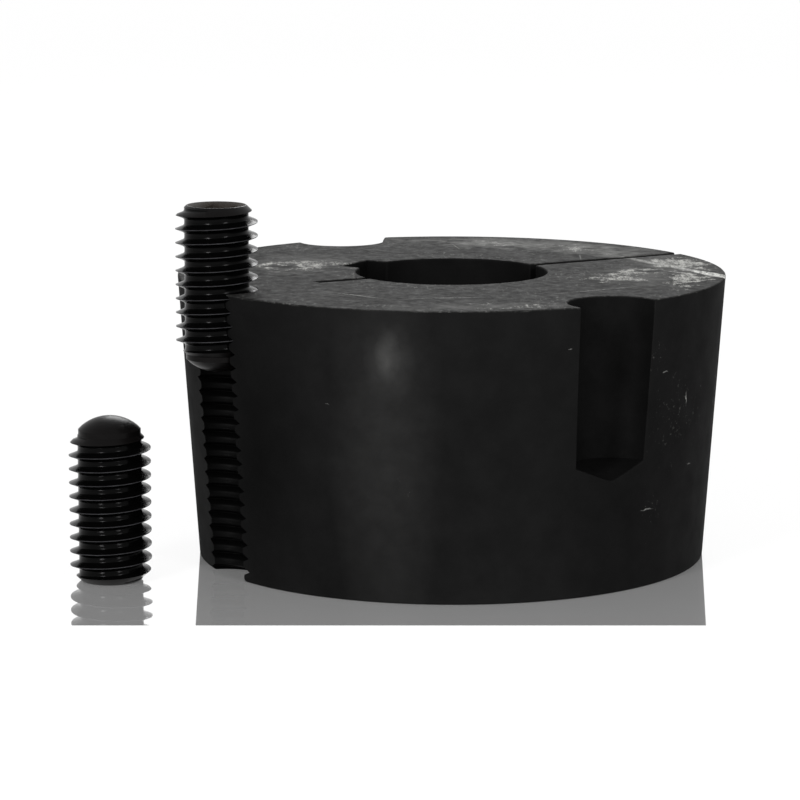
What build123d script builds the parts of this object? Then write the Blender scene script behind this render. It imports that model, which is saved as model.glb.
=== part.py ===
"""Split taper bush that locks a pulley or sprocket hub onto a shaft, with its two set screws.

All sizes are in millimetres. The origin is on the bore axis at the small end face, +Z runs along
the axis towards the large end, and the keyway opens towards +X. Angles go anticlockwise from +X.
The threads of the screws and of the jacking half-hole are plain here, at their outside diameter.
"""
from build123d import *
import os
from math import cos, radians, sin, tan

# ---- the turned cone ----
LARGE_END_DIAMETER = 85.7
LENGTH = 44.45
TAPER_HALF_ANGLE = 4.0
EDGE_BREAK = 0.4

# ---- bore, keyway and saw cuts ----
BORE_DIAMETER = 30.0
KEYWAY_WIDTH = 8.0
KEYWAY_DEPTH = 3.3
SAW_WIDTH = 1.6
SLIT_ANGLE = 242.0
RELIEF_WALL_SHARE = 0.32        # how much of the wall the relief slit goes through

# ---- half-holes in the rim, whose other halves are in the hub ----
PITCH_CIRCLE_INSET = 3.15       # on diameter, inside the large end
TIGHTENING_HOLE_OFFSET = 85.0   # each side of the slit
TIGHTENING_HOLE_CLEARANCE = 1.3  # on diameter, round the screw
TIGHTENING_HOLE_DEPTH = 24.5
DRILL_POINT_ANGLE = 136.0
JACKING_HOLE_CLEARANCE = 0.1    # radial, round the screw

# ---- set screw ----
SCREW_DIAMETER = 12.7
SCREW_LENGTH = 25.4
SOCKET_END_DIAMETER = 9.2
SOCKET_END_BEVEL_ANGLE = 45.0   # from the end face
SOCKET_ACROSS_FLATS = 6.35
SOCKET_DEPTH = 7.0
SOCKET_DRILL_ANGLE = 118.0
SOCKET_MOUTH_DIAMETER = 8.4     # where its countersink meets the end face
SOCKET_MOUTH_ANGLE = 120.0
POINT_DIAMETER = 9.5
POINT_NECK = 0.8
POINT_BEVEL_ANGLE = 45.0
DOME_HEIGHT = 2.0

# ---- where the two screws are ----
SEATED_DEPTH = 12.45            # how far the seated screw reaches into the bush
SEATED_TURN = 13.3
LOOSE_GAP = 13.8                # from the large end's rim out to the loose screw's axis
LOOSE_OFFSET = 172.9            # from the slit
LOOSE_TURN = -22.0

# ---- worked out from the above ----
BORE_RADIUS = BORE_DIAMETER / 2
LARGE_END_RADIUS = LARGE_END_DIAMETER / 2
PITCH_CIRCLE_RADIUS = (LARGE_END_DIAMETER - PITCH_CIRCLE_INSET) / 2
JACKING_HOLE_ANGLE = SLIT_ANGLE - 180
SCREW_RADIUS = SCREW_DIAMETER / 2

OVERRUN = 1.0                   # how far a cutter runs past the faces it cuts
BOTTOM_UP = (Align.CENTER, Align.CENTER, Align.MIN)


def turned(outline):
    """Solid of revolution about Z from a closed outline of (radius, height) points and arcs."""
    return revolve(Plane.XZ * make_face(outline), Axis.Z)


def cone_radius(height):
    """Outside radius of the bush at a height above the small end face."""
    return LARGE_END_RADIUS - (LENGTH - height) * tan(radians(TAPER_HALF_ANGLE))


def at_angle(angle, radius):
    """Place in the plane of the small end face, by angle and distance from the bore axis."""
    return Pos(radius * cos(radians(angle)), radius * sin(radians(angle)), 0)


# ---------------------------------------------------------------- bush
def bush_blank():
    """Turned cone with its bore, every rim broken by a fine bevel."""
    outline = Polyline(
        (BORE_RADIUS, EDGE_BREAK),
        (BORE_RADIUS + EDGE_BREAK, 0),
        (cone_radius(0) - EDGE_BREAK, 0),
        (cone_radius(EDGE_BREAK), EDGE_BREAK),
        (cone_radius(LENGTH - EDGE_BREAK), LENGTH - EDGE_BREAK),
        (cone_radius(LENGTH) - EDGE_BREAK, LENGTH),
        (BORE_RADIUS + EDGE_BREAK, LENGTH),
        (BORE_RADIUS, LENGTH - EDGE_BREAK),
        close=True,
    )
    return turned(outline)


def slot_cutter(angle, width, reach):
    """Straight slot through the whole length, from the bore axis out to a radius."""
    slot = Box(reach, width, LENGTH + 2 * OVERRUN, align=(Align.MIN, Align.CENTER, Align.MIN))
    return Rot(0, 0, angle) * Pos(0, 0, -OVERRUN) * slot


def tightening_hole_cutter(angle):
    """Blind plain hole drilled from the large end face, with its conical drill point."""
    radius = SCREW_RADIUS + TIGHTENING_HOLE_CLEARANCE / 2
    point_depth = radius / tan(radians(DRILL_POINT_ANGLE / 2))
    outline = Polyline(
        (0, -TIGHTENING_HOLE_DEPTH - point_depth),
        (radius, -TIGHTENING_HOLE_DEPTH),
        (radius, OVERRUN),
        (0, OVERRUN),
        close=True,
    )
    return at_angle(angle, PITCH_CIRCLE_RADIUS) * Pos(0, 0, LENGTH) * turned(outline)


def jacking_hole_cutter():
    """Hole of the jacking screw, right through the length, opposite the slit."""
    radius = SCREW_RADIUS + JACKING_HOLE_CLEARANCE
    hole = Cylinder(radius, LENGTH + 2 * OVERRUN, align=BOTTOM_UP)
    return at_angle(JACKING_HOLE_ANGLE, PITCH_CIRCLE_RADIUS) * Pos(0, 0, -OVERRUN) * hole


def make_bush():
    """The bush: blank, keyway, through slit, relief slit and the three half-holes."""
    relief_reach = BORE_RADIUS + RELIEF_WALL_SHARE * (LARGE_END_RADIUS - BORE_RADIUS)
    cutters = [
        slot_cutter(0, KEYWAY_WIDTH, BORE_RADIUS + KEYWAY_DEPTH),
        slot_cutter(SLIT_ANGLE, SAW_WIDTH, LARGE_END_DIAMETER),
        slot_cutter(JACKING_HOLE_ANGLE, SAW_WIDTH, relief_reach),
        tightening_hole_cutter(SLIT_ANGLE - TIGHTENING_HOLE_OFFSET),
        tightening_hole_cutter(SLIT_ANGLE + TIGHTENING_HOLE_OFFSET),
        jacking_hole_cutter(),
    ]
    return bush_blank() - cutters


# ---------------------------------------------------------------- screws
def screw_blank():
    """Turned screw on its socket end: bevelled end, shank, bevel, neck and domed point."""
    end_radius = SOCKET_END_DIAMETER / 2
    end_bevel = (SCREW_RADIUS - end_radius) * tan(radians(SOCKET_END_BEVEL_ANGLE))
    point_radius = POINT_DIAMETER / 2
    point_bevel = (SCREW_RADIUS - point_radius) * tan(radians(POINT_BEVEL_ANGLE))
    neck_top = SCREW_LENGTH - DOME_HEIGHT
    neck_foot = neck_top - POINT_NECK
    dome_radius = (point_radius**2 + DOME_HEIGHT**2) / (2 * DOME_HEIGHT)
    tip = (0, SCREW_LENGTH)
    sides = Polyline(
        tip,
        (0, 0),
        (end_radius, 0),
        (SCREW_RADIUS, end_bevel),
        (SCREW_RADIUS, neck_foot - point_bevel),
        (point_radius, neck_foot),
        (point_radius, neck_top),
    )
    dome = RadiusArc((point_radius, neck_top), tip, -dome_radius)
    return turned([sides, dome])


def socket_cutter():
    """Hexagon socket, countersunk at its mouth, with the cone of its pilot drill at the bottom."""
    flat_radius = SOCKET_ACROSS_FLATS / 2
    hexagon = RegularPolygon(flat_radius, 6, major_radius=False)
    cone_depth = flat_radius / tan(radians(SOCKET_DRILL_ANGLE / 2))
    mouth_radius = SOCKET_MOUTH_DIAMETER / 2
    mouth_depth = mouth_radius / tan(radians(SOCKET_MOUTH_ANGLE / 2))
    drilled = Polyline(
        (0, SOCKET_DEPTH + cone_depth),
        (flat_radius, SOCKET_DEPTH),
        (flat_radius, OVERRUN),
        (0, OVERRUN),
        close=True,
    )
    countersink = Polyline(
        (0, mouth_depth),
        (mouth_radius, 0),
        (mouth_radius, -OVERRUN),
        (0, -OVERRUN),
        close=True,
    )
    return [Pos(0, 0, -OVERRUN) * extrude(hexagon, SOCKET_DEPTH + OVERRUN), turned(drilled), turned(countersink)]


def make_screw():
    """Set screw standing on its socket end, point up."""
    return screw_blank() - socket_cutter()


def seated_place():
    """Place of the seated screw: point down in the jacking half-hole, socket end up."""
    top = LENGTH - SEATED_DEPTH + SCREW_LENGTH
    axis = at_angle(JACKING_HOLE_ANGLE, PITCH_CIRCLE_RADIUS)
    return axis * Pos(0, 0, top) * Rot(0, 0, SEATED_TURN) * Rot(180, 0, 0)


def loose_place():
    """Place of the loose screw: on its socket end beside the bush, point up."""
    return at_angle(SLIT_ANGLE + LOOSE_OFFSET, LARGE_END_RADIUS + LOOSE_GAP) * Rot(0, 0, LOOSE_TURN)


def main():
    """Build each node and write it to its own file."""
    os.makedirs("parts", exist_ok=True)
    screw = make_screw()
    export_step(make_bush(), "parts/taper_bush.step")
    export_step(seated_place() * screw, "parts/seated_set_screw.step")
    export_step(loose_place() * screw, "parts/loose_set_screw.step")


main()
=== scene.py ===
"""Looks of a split taper bush and its two set screws: shapes, finishes, studio and camera.

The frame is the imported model's, in metres: the origin lies on the bore axis at the small end
face, +Z runs towards the large end and the keyway opens towards +X. Sizes are written in
millimetres and turned into metres where a mesh is made. Bearings go anticlockwise from +X.
"""
import logging
from collections.abc import Callable, Iterator
from contextlib import contextmanager
from dataclasses import dataclass, field
from enum import Enum
from math import ceil, cos, floor, pi, radians, sin, tan
from typing import Any

import bmesh
import bpy
from bpy.types import Material, Node, NodeSocket as Socket, NodeTree, Object
from mathutils import Matrix, Vector


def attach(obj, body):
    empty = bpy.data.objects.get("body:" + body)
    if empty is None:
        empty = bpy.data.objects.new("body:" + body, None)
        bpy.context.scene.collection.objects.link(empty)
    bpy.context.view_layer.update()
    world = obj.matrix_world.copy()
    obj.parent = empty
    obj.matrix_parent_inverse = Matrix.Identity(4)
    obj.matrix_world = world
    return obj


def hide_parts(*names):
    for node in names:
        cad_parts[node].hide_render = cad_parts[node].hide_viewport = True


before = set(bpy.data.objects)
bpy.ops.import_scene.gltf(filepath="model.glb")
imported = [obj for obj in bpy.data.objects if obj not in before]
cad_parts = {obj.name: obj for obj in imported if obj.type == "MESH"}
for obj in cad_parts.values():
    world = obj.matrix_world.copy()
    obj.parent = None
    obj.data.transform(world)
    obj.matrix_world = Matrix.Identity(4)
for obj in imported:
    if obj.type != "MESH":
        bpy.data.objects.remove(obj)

LOG = logging.getLogger("taper_bush")

MM = 0.001

# Sizes that the bush and its screws share, in millimetres.
PITCH = 25.4 / 12
SCREW_RADIUS = 6.35
RIM_RADIUS = 42.85
LENGTH = 44.45
PITCH_CIRCLE_RADIUS = 41.275
SLIT_BEARING = 242.0
JACKING_BEARING = SLIT_BEARING - 180.0
JACKING_PHASE = 0.331   # height of the thread's crest at bearing 0, in pitches
SEATED_TOP = 57.4       # height of the seated screw's socket end
LOOSE_BEARING = 54.9
LOOSE_DISTANCE = 56.65  # of the loose screw's axis from the bore axis

MERGE = 0.0005          # millimetres within which vertices are one
SMOOTH_ANGLE = 32.0     # degrees: a sharper edge stays crisp
UPRIGHT = 0.999         # height of the unit normal from which a face counts as level
OVERRUN = 1.0           # millimetres that a cutter runs past the faces it cuts
NEAR = 0.1              # millimetres within which a face counts as the bore's
HOLE_FACETS = 96        # round a drilled hole

# Sizes in millimetres of the patterns in the finishes. What is too fine to show is drawn coarser.
IRON_GRAIN = 0.35       # crystals, really some hundredths of a millimetre
STEEL_GRAIN = 0.4       # the rolled skin, really finer still, which breaks up the glints
SALT_GRAIN = 0.6        # bare crystals, really as fine as the others
SALT_FIELD = 13.0       # areas in which bare crystals lie
SPECK = 0.8             # bits into which rubbed metal breaks up
SMEAR_AND_SHEEN_CLOUD = 2.5
RAGGED_EDGE = 6.0
RIM_PATCH = 4.0
MARK_DRIFT = 18.0       # along a tool mark, over which its height changes
RIM_WEAR_START = 0.30   # in from the large end's rim
RIM_WEAR_FULL = 0.18


def per_mm(size: float) -> float:
    """Texture scale that gives a pattern one feature in so many millimetres."""
    return 1.0 / (size * MM)


def linear(colour: str) -> tuple[float, float, float, float]:
    """Linear colour of an sRGB hex value.

    Args:
        colour: the colour, such as "#1c1c1d".

    Returns:
        Red, green, blue and an alpha of 1.
    """
    shares = (int(colour[i:i + 2], 16) / 255 for i in (1, 3, 5))
    red, green, blue = (s / 12.92 if s <= 0.04045 else ((s + 0.055) / 1.055) ** 2.4 for s in shares)
    return red, green, blue, 1.0


def on_bearing(bearing: float, radius: float, height: float = 0.0) -> Vector:
    """Point in millimetres from its bearing in degrees, its distance from the bore axis and height."""
    return Vector((radius * cos(radians(bearing)), radius * sin(radians(bearing)), height))


def direction(bearing: float, elevation: float) -> Vector:
    """Unit vector towards a bearing and an elevation in degrees."""
    return on_bearing(bearing, cos(radians(elevation)), sin(radians(elevation)))


# ---- mesh work
@contextmanager
def editing() -> Iterator[None]:
    """Edit mode for the active object, and object mode again when what is under it is done."""
    bpy.ops.object.mode_set(mode="EDIT")
    yield
    bpy.ops.object.mode_set(mode="OBJECT")


def only(piece: Object) -> None:
    """Leaves one object selected and active.

    Args:
        piece: the object.
    """
    bpy.ops.object.select_all(action="DESELECT")
    piece.select_set(True)
    bpy.context.view_layer.objects.active = piece


def new_piece(name: str) -> Object:
    """Names the object that an operator has just added, and puts its place into its mesh.

    Args:
        name: the name for the object and its mesh.

    Returns:
        The object.
    """
    piece = bpy.context.active_object
    piece.name = piece.data.name = name
    only(piece)
    bpy.ops.object.transform_apply(location=True, rotation=True, scale=True)
    return piece


def pick(piece: Object, kind: str, test: Callable[[Any], bool]) -> None:
    """Selects, in edit mode, the verts, edges or faces that pass a test and nothing else.

    Args:
        piece: the mesh object that is being edited.
        kind: "verts", "edges" or "faces".
        test: says for one bmesh element whether it is taken.
    """
    bpy.ops.mesh.select_mode(type={"verts": "VERT", "edges": "EDGE", "faces": "FACE"}[kind])
    bpy.ops.mesh.select_all(action="DESELECT")
    mesh = bmesh.from_edit_mesh(piece.data)
    for element in getattr(mesh, kind):
        element.select_set(test(element))
    bmesh.update_edit_mesh(piece.data)


def merge_and_face_out(piece: Object, closest: float = MERGE) -> None:
    """Merges close vertices and turns the faces outwards.

    Args:
        piece: the mesh object.
        closest: the distance in millimetres below which two vertices become one.
    """
    only(piece)
    with editing():
        bpy.ops.mesh.select_all(action="SELECT")
        bpy.ops.mesh.remove_doubles(threshold=closest * MM)
        bpy.ops.mesh.normals_make_consistent(inside=False)


def apply_modifier(piece: Object, kind: str, settings: dict[str, Any]) -> None:
    """Adds one modifier and applies it.

    Args:
        piece: the mesh object.
        kind: the modifier's type.
        settings: values by the modifier's property.
    """
    only(piece)
    modifier = piece.modifiers.new(kind.lower(), kind)
    for name, value in settings.items():
        setattr(modifier, name, value)
    bpy.ops.object.modifier_apply(modifier=modifier.name)


def combine(piece: Object, other: Object, operation: str) -> None:
    """Cuts a piece with another, or keeps what they share, and deletes the other.

    Args:
        piece: the mesh object that is kept and changed.
        other: the closed mesh object that it is combined with, whose finish its cuts take.
        operation: "DIFFERENCE" or "INTERSECT".
    """
    settings = {"object": other, "operation": operation, "solver": "EXACT", "material_mode": "TRANSFER"}
    apply_modifier(piece, "BOOLEAN", settings)
    bpy.data.objects.remove(other)


def block(name: str, low: Vector, high: Vector, bearing: float) -> Object:
    """Straight cutter block, turned about the bore axis.

    Args:
        name: the object's name.
        low: its lowest corner before the turn, in millimetres.
        high: its highest corner.
        bearing: the turn in degrees.

    Returns:
        The closed mesh object.
    """
    turn = Matrix.Rotation(radians(bearing), 4, "Z")
    bpy.ops.mesh.primitive_cube_add(
        size=1, location=turn @ ((low + high) / 2 * MM), scale=(high - low) * MM,
        rotation=(0, 0, radians(bearing)))
    return new_piece(name)


def draw_outline(name: str, points: list[tuple[float, float]]) -> Object:
    """Draws an open outline in the XZ plane, point after point.

    Args:
        name: the object's name.
        points: (radius, height) of each point in millimetres.

    Returns:
        The object, whose mesh is a chain of edges.
    """
    bpy.ops.mesh.primitive_plane_add(size=MM)
    piece = new_piece(name)
    with editing():
        bpy.ops.mesh.select_mode(type="VERT")
        bpy.ops.mesh.select_all(action="SELECT")
        bpy.ops.mesh.merge(type="CENTER")
        here = Vector((0, 0, 0))
        for number, (radius, height) in enumerate(points):
            there = Vector((radius, 0, height)) * MM
            if number == 0:
                bpy.ops.transform.translate(value=there)
            else:
                bpy.ops.mesh.extrude_region_move(TRANSFORM_OT_translate={"value": there - here})
            here = there
    return piece


def turned(name: str, points: list[tuple[float, float]], steps: int) -> Object:
    """Solid turned about Z from an outline whose two ends lie on the axis.

    Args:
        name: the object's name.
        points: (radius, height) of each point in millimetres.
        steps: how many facets go round.

    Returns:
        The closed mesh object, on the origin's axis.
    """
    piece = draw_outline(name, points)
    with editing():
        bpy.ops.mesh.select_all(action="SELECT")
        bpy.ops.mesh.spin(steps=steps, angle=2 * pi, center=(0, 0, 0), axis=(0, 0, 1))
    merge_and_face_out(piece)
    return piece


def put(piece: Object, place: Vector, turn: float = 0.0, over: bool = False) -> None:
    """Moves a mesh to its place.

    Args:
        piece: the mesh object, at the origin.
        place: where its origin goes, in millimetres.
        turn: its turn about Z in degrees.
        over: whether it is put upside down first.
    """
    only(piece)
    piece.rotation_euler = (pi if over else 0.0, 0.0, radians(turn))
    piece.location = place * MM
    bpy.ops.object.transform_apply(location=True, rotation=True, scale=True)


@dataclass(frozen=True)
class Thread:
    """Right-hand thread form of 12 to the inch: crest, flanks and a rounded root."""

    crest_radius: float
    root_radius: float
    crest_flat: float = 0.05
    steps: int = 96

    def outline(self) -> list[tuple[float, float]]:
        """One pitch of the form from root to root, with the crest at height 0.

        Returns:
            The radius and height of each point in millimetres.
        """
        depth = self.crest_radius - self.root_radius
        half = PITCH / 2
        # share of the depth and distance from the crest: rounded root, straight flank, flat crest
        rising = [(0.0, half), (0.01, half * 0.72), (0.05, half * 0.60), (0.15, half * 0.49),
                  (0.88, half * 0.10), (1.0, self.crest_flat)]
        lower = [(self.root_radius + share * depth, -height) for share, height in rising]
        upper = [(radius, -height) for radius, height in reversed(lower)]
        return lower + upper

    def solid(self, name: str, axis: Vector, low: float, high: float, phase: float) -> Object:
        """Closed threaded rod that covers a stretch of height.

        Args:
            name: the object's name.
            axis: a point on the rod's axis, in millimetres.
            low: the lowest height that the whole form covers.
            high: the highest such height.
            phase: the crest's height at bearing 0, in pitches.

        Returns:
            The closed mesh object, whose ends run to points on the axis.
        """
        start = PITCH * (floor(low / PITCH - phase) - 1 + phase)
        turns = ceil((high - start) / PITCH) + 2
        piece = draw_outline(name, [(radius, start + height) for radius, height in self.outline()])
        apply_modifier(piece, "SCREW", {
            "axis": "Z", "angle": 2 * pi, "screw_offset": PITCH * MM, "iterations": turns,
            "steps": self.steps, "render_steps": self.steps, "use_merge_vertices": True,
            "merge_threshold": MERGE * MM})
        merge_and_face_out(piece)
        for height in (start, start + turns * PITCH):
            self._close(piece, height)
        merge_and_face_out(piece)
        put(piece, Vector((axis.x, axis.y, 0)))
        return piece

    def _close(self, piece: Object, height: float) -> None:
        """Draws an open end in to a point on the axis.

        Args:
            piece: the threaded tube.
            height: the point's height in millimetres, within a pitch of the end's edges.
        """
        reach = PITCH * MM * 0.6
        with editing():
            pick(piece, "edges", lambda edge: edge.is_boundary
                 and all(abs(vert.co.z - height * MM) < reach for vert in edge.verts))
            bpy.ops.mesh.extrude_region_move()
            bpy.ops.transform.resize(value=(0, 0, 0), center_override=(0, 0, height * MM))


# ---- finishes
def add_node(tree: NodeTree, kind: str, settings: dict[Any, Any] | None = None,
             links: dict[Any, Socket] | None = None) -> Node:
    """Adds one shader node.

    Args:
        tree: the node tree that it goes into.
        kind: the node's type without "ShaderNode".
        settings: values by input name or number, or by the node's own property.
        links: sockets that feed the node's inputs, by input name or number.

    Returns:
        The node.
    """
    node = tree.nodes.new("ShaderNode" + kind)
    for name, value in (settings or {}).items():
        if isinstance(name, int) or name in node.inputs:
            node.inputs[name].default_value = value
        else:
            setattr(node, name, value)
    for name, socket in (links or {}).items():
        tree.links.new(socket, node.inputs[name])
    return node


def noise(tree: NodeTree, place: Socket, size: float, detail: float, roughness: float = 0.5) -> Node:
    """Noise over the given coordinates, whose features are so many millimetres apart."""
    return add_node(tree, "TexNoise", {"Scale": per_mm(size), "Detail": detail, "Roughness": roughness},
                    {"Vector": place})


def spread(tree: NodeTree, value: Socket, low: float, high: float, least: float = 0.0,
           most: float = 1.0) -> Socket:
    """Value between two limits, spread over the range from the least share to the most."""
    return add_node(tree, "MapRange", {"From Min": low, "From Max": high, "To Min": least, "To Max": most},
                    {"Value": value}).outputs[0]


def multiply(tree: NodeTree, one: Socket, other: Socket) -> Socket:
    """Product of two shares."""
    return add_node(tree, "Math", {"operation": "MULTIPLY"}, {0: one, 1: other}).outputs[0]


def cover(tree: NodeTree, under: Socket, share: Socket, colour: str) -> Socket:
    """Colour below a coat of another one that covers the given share of it."""
    return add_node(tree, "Mix", {"data_type": "RGBA", 7: linear(colour)}, {0: share, 6: under}).outputs[2]


def from_axis(tree: NodeTree, place: Socket) -> Socket:
    """Distance of a point from the Z axis of its coordinates, in metres."""
    flat = add_node(tree, "VectorMath", {"operation": "MULTIPLY", 1: (1, 1, 0)}, {0: place})
    return add_node(tree, "VectorMath", {"operation": "LENGTH"}, {0: flat.outputs[0]}).outputs["Value"]


def new_material(name: str) -> tuple[Material, NodeTree]:
    """Empty node material.

    Args:
        name: the material's name.

    Returns:
        The material and its node tree.
    """
    material = bpy.data.materials.new(name)
    material.use_nodes = True
    material.node_tree.nodes.clear()
    return material, material.node_tree


class Marks(Enum):
    """Way in which a tool's marks run over a surface."""

    AROUND = "rings stacked along the axis, from turning, boring and drilling"
    FACED = "rings about the bore axis, from facing an end"


@dataclass(frozen=True)
class WearAndLightSpot:
    """Soft spot that stands for wear, a smear, painted shade and a painted highlight alike: a soft ellipsoid
    about a point given by bearing, distance and height.

    Its half sizes run along and across its lie, which is counted from its bearing, and upwards.
    """

    bearing: float
    distance: float
    along: float
    across: float
    strength: float
    lie: float = 90.0
    height: float = LENGTH
    tall: float = 3.0


@dataclass(frozen=True)
class PhosphatedIron:
    """Fine-grained cast iron, cut by a tool and then phosphated black, with a satin oiled surface."""

    name: str
    marks: Marks
    dark: str
    pale: str
    roughness: float
    gloss: float
    mark_spacing: float
    mark_height: float
    mottle_size: float = 5.0
    mottle_roughness: float = 0.62
    rubs: tuple[WearAndLightSpot, ...] = ()
    spot_wander: float = 16.0
    speck_level: float = 0.74
    speck_blur: float = 0.14
    speck_lie: float = 302.0
    speck_stretch: float = 1.0
    # a smear on the ends; on the turned side the same spots are a painted highlight, a pale sheen where a
    # lamp's reflection would lie
    smears_and_sheen: tuple[WearAndLightSpot, ...] = ()
    thinnest: float = 0.3
    # spots of painted shade, darker where the side lies in shade
    painted_shade: tuple[WearAndLightSpot, ...] = ()
    salt: float = 0.0
    scratches: tuple[WearAndLightSpot, ...] = ()
    rim_worn: bool = False
    roughness_drift: float = 0.05
    rubbed: str = "#9c9c98"
    scratched: str = "#dcdcd8"
    # colour of the smear, and of the painted highlight on the turned side
    smear_and_sheen_colour: str = "#565655"
    # colour of the painted shade
    painted_shade_colour: str = "#040404"
    salted: str = "#6e6e6c"

    def material(self) -> Material:
        """Makes the finish: mottled black, painted shade, salt, smear and painted highlight, and over them
        the wear.

        Returns:
            The material, with the tool's marks and the crystal grain as fine relief.
        """
        material, tree = new_material(self.name)
        place = add_node(tree, "TexCoord").outputs["Object"]
        ragged = self._ragged(tree, place)
        mottle = noise(tree, place, self.mottle_size, 7.0, self.mottle_roughness)
        shade = spread(tree, mottle.outputs[0], 0.34, 0.66)
        tones = {"data_type": "RGBA", 6: linear(self.dark), 7: linear(self.pale)}
        colour = add_node(tree, "Mix", tones, {0: shade}).outputs[2]
        # painted shade: spots darkened where the side lies in shade
        if self.painted_shade:
            colour = cover(tree, colour, self._spots(tree, ragged, self.painted_shade), self.painted_shade_colour)
        if self.salt:
            colour = cover(tree, colour, self._salt(tree, place), self.salted)
        # a smear on the ends; on the turned side a painted highlight, a pale sheen where a lamp's reflection
        # would lie
        if self.smears_and_sheen:
            cloud = noise(tree, place, SMEAR_AND_SHEEN_CLOUD, 6.0).outputs[0]
            thin = spread(tree, cloud, 0.25, 0.75, least=self.thinnest)
            smear_and_sheen_share = multiply(tree, self._spots(tree, ragged, self.smears_and_sheen), thin)
            colour = cover(tree, colour, smear_and_sheen_share, self.smear_and_sheen_colour)
        for worn, bare in self._wear(tree, place, ragged):
            colour = cover(tree, colour, worn, bare)
        # what is paler is smoother too, and shines more
        dull, bright = self.roughness + self.roughness_drift, self.roughness - self.roughness_drift
        rough = spread(tree, shade, 0.0, 1.0, dull, bright)
        shader = add_node(tree, "BsdfPrincipled", {"Specular IOR Level": self.gloss, "IOR": 1.5},
                          {"Base Color": colour, "Roughness": rough, "Normal": self._bump(tree, place)})
        add_node(tree, "OutputMaterial", None, {"Surface": shader.outputs[0]})
        return material

    def _salt(self, tree: NodeTree, place: Socket) -> Socket:
        """Bare crystals, sown in fields some millimetres wide.

        Args:
            tree: the material's node tree.
            place: the object coordinates.

        Returns:
            The socket of their share.
        """
        fine = noise(tree, self._dragged(tree, place), SALT_GRAIN, 2.0).outputs[0]
        wide = noise(tree, place, SALT_FIELD, 4.0, 0.6).outputs[0]
        return multiply(tree, spread(tree, fine, 0.56, 0.72, most=self.salt), spread(tree, wide, 0.46, 0.66))

    def _bump(self, tree: NodeTree, place: Socket) -> Socket:
        """Normal with the tool's marks over the crystal grain.

        Args:
            tree: the material's node tree.
            place: the object coordinates.

        Returns:
            The socket of the bumped normal.
        """
        drift = per_mm(MARK_DRIFT)
        pitch = per_mm(self.mark_spacing)
        if self.marks is Marks.AROUND:
            settings = {"operation": "MULTIPLY", 1: (drift, drift, pitch)}
            stretched = add_node(tree, "VectorMath", settings, {0: place})
        else:
            rings = add_node(tree, "Math", {"operation": "MULTIPLY", 1: pitch}, {0: from_axis(tree, place)})
            lift = add_node(tree, "CombineXYZ", None, {"Z": rings.outputs[0]})
            settings = {"operation": "MULTIPLY_ADD", 1: (drift, drift, 0)}
            stretched = add_node(tree, "VectorMath", settings, {0: place, 2: lift.outputs[0]})
        marks = add_node(tree, "TexNoise", {"Scale": 1.0, "Detail": 3.0}, {"Vector": stretched.outputs[0]})
        grain = noise(tree, place, IRON_GRAIN, 2.0)
        base = add_node(tree, "Bump", {"Strength": 0.6, "Distance": 0.02 * MM}, {"Height": grain.outputs[0]})
        return add_node(tree, "Bump", {"Strength": 1.0, "Distance": self.mark_height * MM},
                        {"Height": marks.outputs[0], "Normal": base.outputs[0]}).outputs[0]

    def _spots(self, tree: NodeTree, place: Socket, spots: tuple[WearAndLightSpot, ...]) -> Socket:
        """Strongest of several soft spots at each point.

        Args:
            tree: the material's node tree.
            place: the object coordinates.
            spots: the spots, of which there is at least one.

        Returns:
            The socket of their share, from 0 to 1.
        """
        total = None
        for each_spot in spots:
            settings = {"vector_type": "TEXTURE", "Rotation": (0, 0, radians(each_spot.bearing + each_spot.lie)),
                        "Location": on_bearing(each_spot.bearing, each_spot.distance, each_spot.height) * MM,
                        "Scale": (each_spot.along * MM, each_spot.across * MM, each_spot.tall * MM)}
            own = add_node(tree, "Mapping", settings, {"Vector": place})
            soft = add_node(tree, "TexGradient", {"gradient_type": "SPHERICAL"}, {"Vector": own.outputs[0]})
            spot = add_node(tree, "Math", {"operation": "MULTIPLY", 1: each_spot.strength, "use_clamp": True},
                            {0: soft.outputs["Fac"]}).outputs[0]
            if total is not None:
                spot = add_node(tree, "Math", {"operation": "MAXIMUM"}, {0: total, 1: spot}).outputs[0]
            total = spot
        return total

    def _ragged(self, tree: NodeTree, place: Socket) -> Socket:
        """Object coordinates that wander by some millimetres, which makes a spot's outline uneven.

        Args:
            tree: the material's node tree.
            place: the object coordinates.

        Returns:
            The socket of the wandering coordinates.
        """
        wander = noise(tree, place, RAGGED_EDGE, 5.0, 0.65)
        shift = add_node(tree, "VectorMath", {"operation": "SUBTRACT", 1: (0.5, 0.5, 0.5)},
                         {0: wander.outputs["Color"]})
        return add_node(tree, "VectorMath", {"operation": "MULTIPLY_ADD", 1: (self.spot_wander * MM,) * 3},
                        {0: shift.outputs[0], 2: place}).outputs[0]

    def _dragged(self, tree: NodeTree, place: Socket) -> Socket:
        """Object coordinates that draw a speck out along its lie, the way the wear was dragged."""
        settings = {"vector_type": "TEXTURE", "Rotation": (0, 0, radians(self.speck_lie)),
                    "Scale": (self.speck_stretch, 1, 1)}
        return add_node(tree, "Mapping", settings, {"Vector": place}).outputs[0]

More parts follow.
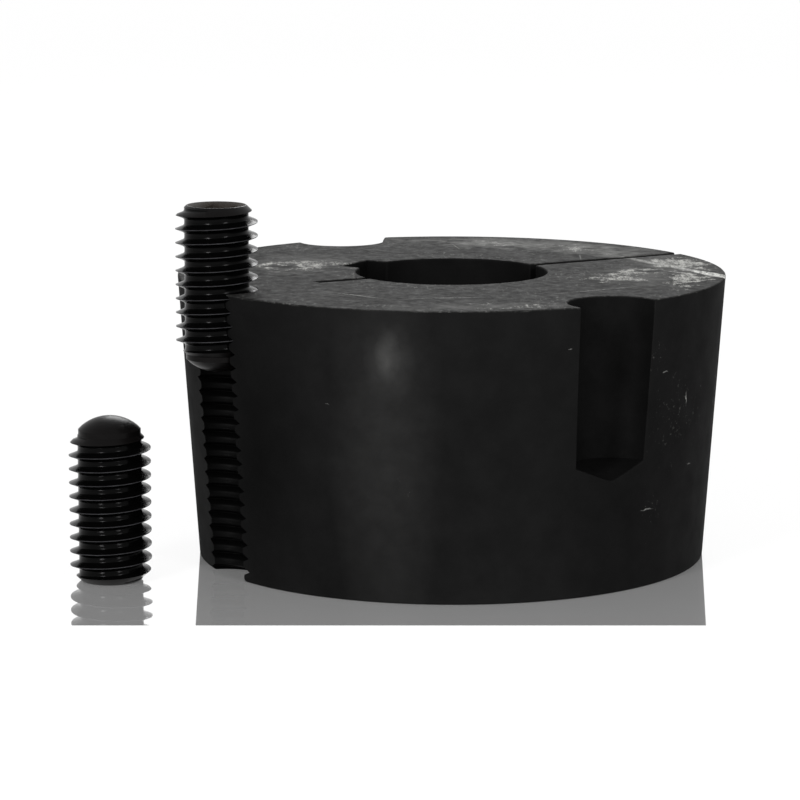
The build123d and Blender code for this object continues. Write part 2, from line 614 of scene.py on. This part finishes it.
    def _wear(self, tree: NodeTree, place: Socket, ragged: Socket) -> list[tuple[Socket, str]]:
        """Shares of bare metal: rubbed spots broken into specks, scratches, and the large end's worn rim.

        Args:
            tree: the material's node tree.
            place: the object coordinates.
            ragged: the same, wandering.

        Returns:
            One socket and the colour that it shows for each kind of wear that the finish has.
        """
        shares = []
        specks = noise(tree, self._dragged(tree, place), SPECK, 7.0, 0.8).outputs[0]
        if self.scratches:
            lines = self._spots(tree, ragged if self.marks is Marks.AROUND else place, self.scratches)
            shares.append((multiply(tree, lines, spread(tree, specks, 0.35, 0.6)), self.scratched))
        if self.rubs:
            rubs = self._spots(tree, ragged, self.rubs)
            density = add_node(tree, "Math", {"operation": "MULTIPLY_ADD", 1: 0.35}, {0: rubs, 2: specks})
            flecks = spread(tree, density.outputs[0], self.speck_level, self.speck_level + self.speck_blur)
            shares.append((flecks, self.rubbed))
        if self.rim_worn:
            shares.append((self._rim(tree, place), self.rubbed))
        return shares

    def _rim(self, tree: NodeTree, place: Socket) -> Socket:
        """Bare metal in patches along the large end's rim.

        Args:
            tree: the material's node tree.
            place: the object coordinates.

        Returns:
            The socket of its share.
        """
        height = add_node(tree, "SeparateXYZ", None, {"Vector": place}).outputs["Z"]
        out = spread(tree, from_axis(tree, place), (RIM_RADIUS - RIM_WEAR_START) * MM,
                     (RIM_RADIUS - RIM_WEAR_FULL) * MM)
        high = spread(tree, height, (LENGTH - RIM_WEAR_START) * MM, (LENGTH - RIM_WEAR_FULL) * MM)
        patches = noise(tree, place, RIM_PATCH, 6.0, 0.7).outputs[0]
        return multiply(tree, multiply(tree, out, high), spread(tree, patches, 0.56, 0.66, most=0.35))


@dataclass(frozen=True)
class BlackOxideSteel:
    """Heat-treated alloy steel with a black oxide and a coat of oil, glossy where the thread is rolled."""

    name: str
    axis: Vector
    crest_radius: float
    dark: str
    pale: str
    roughness: float
    gloss: float
    mottle_size: float = 1.6
    crest_band: float = 0.10
    worn: str = "#3c3c3e"

    def material(self) -> Material:
        """Makes the finish: near-black, a little glossy, rubbed lighter along the thread's crest.

        Returns:
            The material, with a fine grain as relief.
        """
        material, tree = new_material(self.name)
        place = add_node(tree, "TexCoord").outputs["Object"]
        mottle = noise(tree, place, self.mottle_size, 5.0).outputs[0]
        tones = {"data_type": "RGBA", 6: linear(self.dark), 7: linear(self.pale)}
        black = add_node(tree, "Mix", tones, {0: mottle}).outputs[2]
        centred = {"Location": Vector((-self.axis.x, -self.axis.y, 0)) * MM}
        radius = from_axis(tree, add_node(tree, "Mapping", centred, {"Vector": place}).outputs[0])
        crest = spread(tree, radius, (self.crest_radius - self.crest_band) * MM, self.crest_radius * MM)
        colour = cover(tree, black, multiply(tree, crest, mottle), self.worn)
        grain = noise(tree, place, STEEL_GRAIN, 3.0)
        bump = add_node(tree, "Bump", {"Strength": 0.5, "Distance": 0.015 * MM}, {"Height": grain.outputs[0]})
        settings = {"Specular IOR Level": self.gloss, "Roughness": self.roughness}
        shader = add_node(tree, "BsdfPrincipled", settings, {"Base Color": colour, "Normal": bump.outputs[0]})
        add_node(tree, "OutputMaterial", None, {"Surface": shader.outputs[0]})
        return material


# ---- bush
# Wear, painted shade and painted highlight by bearing, distance from the bore axis, half sizes along and
# across, and strength.
END_RUBS = (
    WearAndLightSpot(225, 37.5, 12, 6.5, 2.2),
    WearAndLightSpot(211, 29, 10, 7, 1.25),
    WearAndLightSpot(195.5, 26.4, 11, 7, 1.35),
    WearAndLightSpot(200.4, 37.5, 10, 5, 1.9),
    WearAndLightSpot(187.1, 39.1, 8, 4, 1.2),
    WearAndLightSpot(18, 26.5, 20, 11, 1.3, lie=14),
    WearAndLightSpot(289.3, 33.3, 10, 7, 1, lie=40),
    WearAndLightSpot(263.7, 34.4, 15, 6, 1),
    WearAndLightSpot(131.9, 35, 10, 4, 0.7),
    WearAndLightSpot(114.4, 39.3, 7, 3, 0.7),
    WearAndLightSpot(137, 40, 15, 3.5, 0.95),
)
END_SMEARS = (
    WearAndLightSpot(222, 36, 15, 8, 0.9),
    WearAndLightSpot(204, 30, 16, 9, 0.6),
    WearAndLightSpot(15.5, 25, 15, 12, 0.7, lie=60),
    WearAndLightSpot(287, 34, 22, 7.5, 1.6),
    WearAndLightSpot(262, 35, 20, 8, 1.3),
    WearAndLightSpot(128, 38, 18, 5, 0.5),
)
END_SCRATCHES = (
    WearAndLightSpot(221.1, 35.2, 17, 1.30, 0.7, lie=-66.8),
    WearAndLightSpot(206.8, 40.9, 6.5, 1.4, 4, lie=-52.5),
    WearAndLightSpot(209, 36, 5, 0.22, 1.4, lie=-40),
    WearAndLightSpot(168, 30, 9, 0.18, 0.6, lie=75),
    WearAndLightSpot(120, 29, 7, 0.18, 0.6, lie=100),
    WearAndLightSpot(300, 30, 5, 0.18, 0.25, lie=12),
    WearAndLightSpot(251, 27, 4, 0.18, 0.25, lie=50),
    WearAndLightSpot(35, 33, 7, 0.18, 0.5, lie=118),
    WearAndLightSpot(92, 30, 8, 0.18, 0.5, lie=80),
)
SIDE_RUBS = (
    WearAndLightSpot(176, 41.5, 16, 6, 0.52, height=26, tall=24),
    WearAndLightSpot(167, 42.2, 8, 5, 0.52, height=36.5, tall=10),
    WearAndLightSpot(186, 41, 6, 5, 0.52, height=27, tall=16),
    WearAndLightSpot(201, 41, 6, 5, 0.7, height=28, tall=20),
    WearAndLightSpot(170, 40.3, 9, 5, 0.50, height=12, tall=9),
    WearAndLightSpot(112, 40.5, 6, 4, 0.5, height=17, tall=5),
    WearAndLightSpot(113, 42.2, 2.4, 1.5, 0.6, height=34.8, tall=1.5),
    WearAndLightSpot(285, 41, 14, 5, 0.5, height=20, tall=12),
    WearAndLightSpot(20, 41, 12, 5, 0.5, height=30, tall=14),
)
# Painted highlight on the turned side: a soft pale sheen near the top and a faint band below it, where the
# left lamp's reflection would lie.
SIDE_PAINTED_HIGHLIGHT = (
    WearAndLightSpot(108.4, 42.4, 3, 3, 0.46, height=37, tall=6.4),
    WearAndLightSpot(108.6, 42, 5.2, 4, 0.24, height=36.2, tall=9.5),
    WearAndLightSpot(107.5, 41, 9, 8, 0.11, height=24, tall=40),
)
# Painted shade on the turned side: darker beside the jacking half-hole, in a broad patch under the front
# half-hole and towards the foot.
SIDE_PAINTED_SHADE = (
    WearAndLightSpot(76, 41, 14, 10, 0.9, height=20, tall=40),
    WearAndLightSpot(95, 40, 26, 10, 0.5, height=0, tall=22),
    WearAndLightSpot(160, 41, 16, 8, 0.4, height=6, tall=36),
)
SIDE_SCRATCHES = (
    WearAndLightSpot(171, 42, 0.8, 2, 0.4, height=33, tall=0.12),
    WearAndLightSpot(180, 41.6, 0.12, 2, 0.5, height=28, tall=1.4),
    WearAndLightSpot(184, 40.6, 0.9, 2, 0.4, height=17.5, tall=0.12),
    WearAndLightSpot(168, 40.4, 1.8, 2, 0.4, height=12, tall=0.10),
    WearAndLightSpot(146, 42, 0.5, 2, 0.4, height=38.5, tall=0.10),
    WearAndLightSpot(95, 41, 0.6, 2, 0.3, height=30, tall=0.10),
    WearAndLightSpot(262, 41.5, 4, 1.5, 0.6, height=28, tall=0.12),
    WearAndLightSpot(300, 40.8, 0.12, 1.5, 0.6, height=15, tall=3),
    WearAndLightSpot(28, 41.8, 3.6, 1.5, 0.6, height=31, tall=0.12),
    WearAndLightSpot(350, 41, 0.12, 1.5, 0.5, height=19, tall=3.6),
)


@dataclass
class Bush:
    """The split bush: turned taper, bore, keyway, saw cuts and the three half-holes in its rim."""

    taper_half_angle: float = 4.0
    bore_radius: float = 15.0
    keyway_width: float = 8.0
    keyway_depth: float = 3.3
    saw_width: float = 1.6
    relief_reach: float = 23.9
    tightening_offset: float = 85.0
    tightening_radius: float = 7.0
    tightening_foot_radius: float = 6.4
    tightening_depth: float = 24.5
    drill_point_angle: float = 136.0
    rear_shift: float = 0.6
    worn_corner_slant: float = 29.0
    worn_corner_lean: float = 12.0
    worn_corner_size: float = 10.0
    worn_corner_gap: float = 0.12
    shortest_edge: float = 0.16
    edge_round: float = 0.28
    facets: int = 256
    tap: Thread = field(default_factory=lambda: Thread(crest_radius=6.48, root_radius=5.14, crest_flat=0.06))

    def small_radius(self) -> float:
        """Outside radius at the small end face."""
        return RIM_RADIUS - LENGTH * tan(radians(self.taper_half_angle))

    def build(self) -> Object:
        """Turns the blank, cuts it, rounds its edges and taps the jacking half-hole.

        Returns:
            The finished bush, which rides on the root body.
        """
        turned_taper, faced_end, cut_wall, tapped = (finish.material() for finish in self.finishes())
        bush = self._blank()
        for material in (turned_taper, faced_end, cut_wall):
            bush.data.materials.append(material)
        # the bore's wall, and below each cut's wall, take the darker bored black: painted shade in the
        # recesses
        for face in bush.data.polygons:
            inside = Vector(face.center).xy.length < (self.bore_radius + NEAR) * MM
            face.material_index = 1 if abs(face.normal.z) > UPRIGHT else (2 if inside else 0)
        for cutter in self._cutters():
            cutter.data.materials.append(cut_wall)
            combine(bush, cutter, "DIFFERENCE")
        self._round_edges(bush)
        axis = on_bearing(JACKING_BEARING, PITCH_CIRCLE_RADIUS)
        tap = self.tap.solid("tap", axis, -OVERRUN, LENGTH + OVERRUN, JACKING_PHASE)
        # the tapped thread takes its near-black: painted shade in the half-hole
        tap.data.materials.append(tapped)
        combine(bush, tap, "DIFFERENCE")
        only(bush)
        bpy.ops.object.shade_smooth_by_angle(angle=radians(SMOOTH_ANGLE))
        apply_modifier(bush, "WEIGHTED_NORMAL", {"keep_sharp": True, "weight": 80})
        bush.name = bush.data.name = "bush_body"
        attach(bush, "root")
        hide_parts("taper_bush")
        return bush

    def _round_edges(self, bush: Object) -> None:
        """Rounds the outside edges of the cut bush.

        Args:
            bush: the bush, whose end faces become one face each, so that no seam meets a round.
        """
        merge_and_face_out(bush, self.shortest_edge)
        with editing():
            pick(bush, "faces", lambda face: abs(face.normal.z) > UPRIGHT)
            bpy.ops.mesh.dissolve_faces()
            pick(bush, "edges", lambda edge: edge.is_convex
                 and edge.calc_face_angle(0.0) > radians(SMOOTH_ANGLE))
            bpy.ops.mesh.bevel(offset=self.edge_round * MM, segments=3, affect="EDGES")

    def finishes(self) -> tuple[PhosphatedIron, ...]:
        """Finishes of the turned taper, the faced ends, the walls of the cuts and the tapped half-hole, with
        painted shade and a painted highlight among them.
        """
        # the real tool marks are about half as far apart, and are drawn coarser so that they show
        return (
            # satin black with one broad, soft band of light, partly from the left lamp and partly a painted
            # highlight that peaks in a pale sheen near the top; painted shade beside the jacking half-hole,
            # under the front half-hole and towards the foot; nicked and rubbed paler to one side
            PhosphatedIron(
                "phosphated_turned_iron", Marks.AROUND, "#0f0f0f", "#121212", 0.82, 0.028, 0.30, 0.006,
                rubs=SIDE_RUBS, spot_wander=3.0, rubbed="#585856", painted_shade=SIDE_PAINTED_SHADE, smears_and_sheen=SIDE_PAINTED_HIGHLIGHT,
                thinnest=0.7, scratches=SIDE_SCRATCHES, rim_worn=True),
            # blotched dark grey that pales when seen flat, with fine salt and worn, bright patches
            PhosphatedIron(
                "phosphated_faced_iron", Marks.FACED, "#060606", "#242423", 0.76, 0.09, 0.35, 0.008,
                mottle_size=1.5, mottle_roughness=0.75, roughness_drift=0.11, salt=0.5, rubs=END_RUBS,
                rubbed="#a4a4a0", speck_blur=0.20, speck_stretch=3.5, smears_and_sheen=END_SMEARS, smear_and_sheen_colour="#6e6e6c",
                scratches=END_SCRATCHES),
            # deep, dull black, darker than the turned outside: painted shade that keeps the bore, the keyway,
            # the slits and the half-holes dark
            PhosphatedIron(
                "phosphated_bored_iron_painted_shade", Marks.AROUND, "#050505", "#090909", 0.62, 0.04, 0.40, 0.010),
            # near-black, darker still: painted shade in the half-hole, so that the thread's ridges only just
            # catch the light
            PhosphatedIron(
                "phosphated_tapped_iron_painted_shade", Marks.AROUND, "#030303", "#050505", 0.50, 0.03, 0.25, 0.004),
        )

    def _blank(self) -> Object:
        """Frustum of a cone whose two end faces are drawn in to the bore and bridged.

        Returns:
            The closed mesh object.
        """
        bpy.ops.mesh.primitive_cone_add(
            vertices=self.facets, radius1=self.small_radius() * MM, radius2=RIM_RADIUS * MM,
            depth=LENGTH * MM, end_fill_type="NGON", location=(0, 0, LENGTH * MM / 2))
        piece = new_piece("bush_blank")
        with editing():
            for radius, height, facing in ((self.small_radius(), 0.0, -1), (RIM_RADIUS, LENGTH, 1)):
                pick(piece, "faces", lambda face: face.normal.z * facing > UPRIGHT)
                share = self.bore_radius / radius
                bpy.ops.mesh.extrude_region_move()
                bpy.ops.transform.resize(value=(share, share, 1), center_override=(0, 0, height * MM))
                bpy.ops.mesh.delete(type="FACE")
            pick(piece, "edges", lambda edge: edge.is_boundary)
            bpy.ops.mesh.bridge_edge_loops()
        merge_and_face_out(piece)
        return piece

    def _cutters(self) -> list[Object]:
        """Makes what cuts the keyway, through slit, relief slit and the two plain half-holes.

        Returns:
            The closed cutters.
        """
        foot, top = -OVERRUN, LENGTH + OVERRUN
        front = SLIT_BEARING - self.tightening_offset
        rear = SLIT_BEARING + self.tightening_offset + self.rear_shift
        half_key, half_saw = self.keyway_width / 2, self.saw_width / 2
        return [
            block("keyway", Vector((0, -half_key, foot)),
                  Vector((self.bore_radius + self.keyway_depth, half_key, top)), 0.0),
            block("through_slit", Vector((0, -half_saw, foot)),
                  Vector((RIM_RADIUS + OVERRUN, half_saw, top)), SLIT_BEARING),
            block("relief_slit", Vector((0, -half_saw, foot)),
                  Vector((self.relief_reach, half_saw, top)), JACKING_BEARING),
            self._drill("front_drill", front),
            self._drill("rear_drill", rear),
            self._worn_corner(rear),
        ]

    def _drill(self, name: str, bearing: float) -> Object:
        """Slightly tapered core with its point, down from above the large end face.

        Args:
            name: the object's name.
            bearing: its bearing in degrees.

        Returns:
            The closed cutter.
        """
        top, foot = self.tightening_radius, self.tightening_foot_radius
        point = foot / tan(radians(self.drill_point_angle / 2))
        drill = turned(name, [(0, -self.tightening_depth - point), (foot, -self.tightening_depth), (top, 0),
                              (top, OVERRUN), (0, OVERRUN)], HOLE_FACETS)
        put(drill, on_bearing(bearing, PITCH_CIRCLE_RADIUS, LENGTH))
        return drill

    def _worn_corner(self, bearing: float) -> Object:
        """Cutter that planes off one corner of a half-hole's mouth, all but flush with its wall.

        Args:
            bearing: the half-hole's bearing in degrees.

        Returns:
            The closed cutter, through the large end face.
        """
        slant = radians(self.worn_corner_slant)
        clear = self.tightening_radius - self.worn_corner_gap
        start = Vector((PITCH_CIRCLE_RADIUS - clear * sin(slant), -clear * cos(slant), LENGTH))
        turn = Matrix.Rotation(radians(bearing) - slant, 4, "Z")
        turn = turn @ Matrix.Rotation(radians(self.worn_corner_lean), 4, "X")
        half = self.worn_corner_size / 2
        centre = Matrix.Rotation(radians(bearing), 4, "Z") @ start
        centre += turn @ Vector((half, half, OVERRUN - half))
        bpy.ops.mesh.primitive_cube_add(
            size=self.worn_corner_size * MM, location=centre * MM, rotation=turn.to_euler())
        return new_piece("worn_corner")


# ---- screws
@dataclass
class SetScrew:
    """Socket set screw with a domed point, standing on its socket end or hanging point down."""

    name: str
    node: str
    place: Vector
    turn: float
    phase: float
    point_down: bool = False
    length: float = 25.4
    end_radius: float = 4.6
    end_bevel_angle: float = 45.0
    socket_across_flats: float = 6.35
    socket_depth: float = 7.0
    socket_mouth_radius: float = 4.4
    drill_angle: float = 118.0
    point_radius: float = 4.75
    point_neck: float = 0.8
    dome_height: float = 2.0
    dome_steps: int = 9
    dome_lip: float = 0.05
    end_break: float = 0.12
    thread_gap: float = 0.02
    mouth_flare: float = 1.732
    drill_play: float = 0.05
    facets: int = 128
    thread: Thread = field(default_factory=lambda: Thread(crest_radius=6.24, root_radius=4.86))

    def build(self) -> Object:
        """Makes the threaded rod, turns it down to its envelope and sinks the socket.

        Returns:
            The finished screw, which rides on the root body.
        """
        rolled, end_cut, broached = (finish.material() for finish in self.finishes())
        low = self.place.z - (self.length if self.point_down else 0)
        screw = self.thread.solid(self.name, self.place, low, low + self.length, self.phase)
        screw.data.materials.append(rolled)
        envelope = self._envelope()
        envelope.data.materials.append(end_cut)
        combine(screw, envelope, "INTERSECT")
        for cutter in (self._hexagon(), self._socket_drill()):
            put(cutter, self.place, self.turn, self.point_down)
            cutter.data.materials.append(broached)
            combine(screw, cutter, "DIFFERENCE")
        merge_and_face_out(screw)
        only(screw)
        bpy.ops.object.shade_smooth_by_angle(angle=radians(SMOOTH_ANGLE))
        screw.name = screw.data.name = self.name
        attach(screw, "root")
        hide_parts(self.node)
        return screw

    def finishes(self) -> tuple[BlackOxideSteel, ...]:
        """Finishes of the rolled thread, the turned ends and the broached socket."""
        looks = (
            # near-black and oily, with a thin glint on every crest
            ("rolled", "#020202", "#040404", 0.19, 0.04),
            # black with a soft sheen, which rounds the dome and rims the socket end
            ("turned", "#060505", "#0a0909", 0.31, 0.05),
            # dry brown-black, which gives the socket its depth
            ("broached", "#1f1b18", "#2a2622", 0.60, 0.04),
        )
        crest = self.thread.crest_radius
        return tuple(BlackOxideSteel(f"black_oxide_{cut}_{self.name}", self.place, crest, *look)
                     for cut, *look in looks)

    def _envelope(self) -> Object:
        """Turned outline of the screw: bevelled socket end, shank, bevel, neck and dome.

        Returns:
            The closed mesh object, in its place and just clear of the thread's crest.
        """
        radius = SCREW_RADIUS + self.thread_gap
        bevel = (radius - self.end_radius) * tan(radians(self.end_bevel_angle))
        neck_top = self.length - self.dome_height
        neck_foot = neck_top - self.point_neck
        ball = (self.point_radius**2 + self.dome_height**2) / (2 * self.dome_height)
        slope = self.point_radius / ball
        dome = []
        for step in range(1, self.dome_steps):
            share = step / self.dome_steps
            across = self.point_radius * (1 - share)
            dome.append((across, self.length - ball + (ball**2 - across**2) ** 0.5))
        outline = [(0, 0), (self.end_radius - self.end_break, 0), (self.end_radius, self.end_break / 2),
                   (radius, bevel + self.thread_gap), (radius, neck_foot - (radius - self.point_radius)),
                   (self.point_radius, neck_foot), (self.point_radius, neck_top - self.dome_lip * slope),
                   *dome, (0, self.length)]
        envelope = turned("screw_envelope", outline, self.facets)
        put(envelope, self.place, self.turn, self.point_down)
        return envelope

    def _hexagon(self) -> Object:
        """Prism of the hexagon socket, a little past the end face.

        Returns:
            The closed cutter.
        """
        corner = self.socket_across_flats / 2 / cos(pi / 6)
        depth = self.socket_depth + OVERRUN
        bpy.ops.mesh.primitive_cylinder_add(
            vertices=6, radius=corner * MM, depth=depth * MM, rotation=(0, 0, pi / 6),
            location=(0, 0, (self.socket_depth - OVERRUN) / 2 * MM))
        return new_piece("hexagon")

    def _socket_drill(self) -> Object:
        """Countersunk mouth of the socket, and the pilot drill's cone at its bottom.

        Returns:
            The closed cutter.
        """
        flat = self.socket_across_flats / 2
        cone = flat / tan(radians(self.drill_angle / 2))
        mouth, flare = self.socket_mouth_radius, self.mouth_flare
        inner = flat - self.drill_play
        outline = [(0, -OVERRUN), (mouth + OVERRUN * flare, -OVERRUN), (inner, (mouth - inner) / flare),
                   (inner, self.socket_depth), (0, self.socket_depth + cone)]
        return turned("socket_drill", outline, HOLE_FACETS)


# ---- studio
@dataclass(frozen=True)
class Softbox:
    """Rectangular soft lamp, placed by bearing, elevation and distance about the object."""

    name: str
    bearing: float
    elevation: float
    distance: float
    width: float
    height: float
    watts: float

    def place(self, aim: Vector) -> None:
        """Adds the lamp.

        Args:
            aim: the point in metres that it is turned towards.
        """
        away = direction(self.bearing, self.elevation)
        turn = away.to_track_quat("Z", "Y").to_euler()
        bpy.ops.object.light_add(type="AREA", location=aim + away * self.distance, rotation=turn)
        lamp = bpy.context.active_object
        lamp.name = self.name
        lamp.data.shape = "RECTANGLE"
        lamp.data.size = self.width
        lamp.data.size_y = self.height
        lamp.data.energy = self.watts
        lamp.visible_camera = False


@dataclass
class Studio:
    """White surroundings, glossy white floor, soft lamps and the camera."""

    camera_bearing: float = 122.0
    camera_elevation: float = 9.89
    camera_distance: float = 0.58307
    lens: float = 166.4
    aim: Vector = field(default_factory=lambda: Vector((6.84, 4.27, 23.95)) * MM)
    floor_size: float = 60.0
    floor_drop: float = 0.05
    table_front: float = 52.5
    table_gloss: float = 1.055
    floor_colour: str = "#c8c8c8"
    floor_lift: float = 0.5
    table_roughness: float = 0.03
    ambient: float = 0.6
    lamp_swing: float = 32.0

    def build(self) -> None:
        """Sets up the surroundings, the floor, the lamps and the camera."""
        self._world()
        self._floor()
        left, right = self.camera_bearing - self.lamp_swing, self.camera_bearing + self.lamp_swing
        for lamp in (
            Softbox("softbox_left", left, 24.0, distance=0.75, width=0.12, height=0.24, watts=4.4),
            Softbox("softbox_right", right, 24.0, distance=0.75, width=0.12, height=0.24, watts=2.8),
            Softbox("softbox_back", self.camera_bearing + 180, 30.0, distance=0.90, width=0.30, height=0.30,
                    watts=2.0),
        ):
            lamp.place(self.aim)
        self._camera()

    def _world(self) -> None:
        """White for the eye, for gloss and through glass, and a plain level for the rest."""
        world = bpy.data.worlds.new("studio")
        bpy.context.scene.world = world
        world.use_nodes = True
        tree = world.node_tree
        tree.nodes.clear()
        level = spread(tree, self._shown(tree), 0.0, 1.0, least=self.ambient)
        back = add_node(tree, "Background", {"Color": linear("#ffffff")}, {"Strength": level})
        add_node(tree, "OutputWorld", None, {"Surface": back.outputs[0]})

    def _shown(self, tree: NodeTree) -> Socket:
        """One for what the eye sees, straight, in gloss or through glass, and nought for what lights.

        Args:
            tree: the node tree of the surroundings or of a material.

        Returns:
            The socket of that value.
        """
        path = add_node(tree, "LightPath")
        seen = add_node(tree, "Math", {"operation": "MAXIMUM"},
                        {0: path.outputs["Is Camera Ray"], 1: path.outputs["Is Glossy Ray"]})
        return add_node(tree, "Math", {"operation": "MAXIMUM"},
                        {0: seen.outputs[0], 1: path.outputs["Is Transmission Ray"]}).outputs[0]

    def _floor(self) -> None:
        """Glossy table top that ends a little before the bush, and the matt floor that goes on from it."""
        far = self.floor_size / 2
        edge = self.table_front * MM
        planes = (("table_top", edge, -far, self.table_gloss), ("floor", far, edge, 0.0))
        for name, near, back, gloss in planes:
            bpy.ops.mesh.primitive_plane_add(size=self.floor_size, location=(0, 0, -self.floor_drop * MM))
            plane = new_piece(name)
            with editing():
                for side, shift in ((-1, far - near), (1, -far - back)):
                    pick(plane, "edges", lambda line: all(vert.co.y * side > far / 2 for vert in line.verts))
                    bpy.ops.transform.translate(value=(0, shift, 0))
            put(plane, Vector((0, 0, 0)), self.camera_bearing + 90)
            plane.data.materials.append(self._white(name + "_white", gloss))

    def _white(self, name: str, gloss: float) -> Material:
        """White lacquer, more of a mirror the flatter it is seen.

        Args:
            name: the material's name.
            gloss: the mirror's share at the flattest.

        Returns:
            The material.
        """
        material, tree = new_material(name)
        facing = add_node(tree, "LayerWeight", {"Blend": 0.5})
        share = add_node(tree, "Math", {"operation": "MULTIPLY", 1: gloss}, {0: facing.outputs["Facing"]})
        white = add_node(tree, "BsdfDiffuse", {"Color": linear(self.floor_colour)})
        lift = add_node(tree, "Math", {"operation": "MULTIPLY", 1: self.floor_lift}, {0: self._shown(tree)})
        glow = add_node(tree, "Emission", {"Color": linear("#ffffff")}, {"Strength": lift.outputs[0]})
        body = add_node(tree, "AddShader", None, {0: white.outputs[0], 1: glow.outputs[0]})
        mirror = add_node(tree, "BsdfGlossy", {"Color": linear("#ffffff"), "Roughness": self.table_roughness})
        mixed = add_node(tree, "MixShader", None,
                         {0: share.outputs[0], 1: body.outputs[0], 2: mirror.outputs[0]})
        add_node(tree, "OutputMaterial", None, {"Surface": mixed.outputs[0]})
        return material

    def _camera(self) -> None:
        """Camera at its bearing and elevation, turned towards the aim."""
        away = direction(self.camera_bearing, self.camera_elevation)
        bpy.ops.object.camera_add(
            location=self.aim + away * self.camera_distance,
            rotation=(radians(90 - self.camera_elevation), 0, radians(self.camera_bearing + 90)))
        camera = bpy.context.active_object
        camera.data.lens = self.lens
        camera.data.sensor_width = 36.0
        camera.data.clip_start = 0.01
        bpy.context.scene.camera = camera


def main() -> None:
    """Builds the bush, the screws and the studio."""
    logging.basicConfig(level=logging.INFO, format="%(message)s")
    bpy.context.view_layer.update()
    bpy.context.scene.view_settings.view_transform = "Standard"
    pieces = (
        Bush(),
        SetScrew("seated_screw", "seated_set_screw",
                 on_bearing(JACKING_BEARING, PITCH_CIRCLE_RADIUS, SEATED_TOP),
                 turn=13.3, phase=JACKING_PHASE, point_down=True),
        SetScrew("loose_screw", "loose_set_screw", on_bearing(LOOSE_BEARING, LOOSE_DISTANCE),
                 turn=-22.0, phase=0.061),
    )
    for maker in pieces:
        piece = maker.build()
        LOG.info("%s: %d faces, %d vertices", piece.name, len(piece.data.polygons), len(piece.data.vertices))
    Studio().build()


if __name__ == "__main__":
    main()
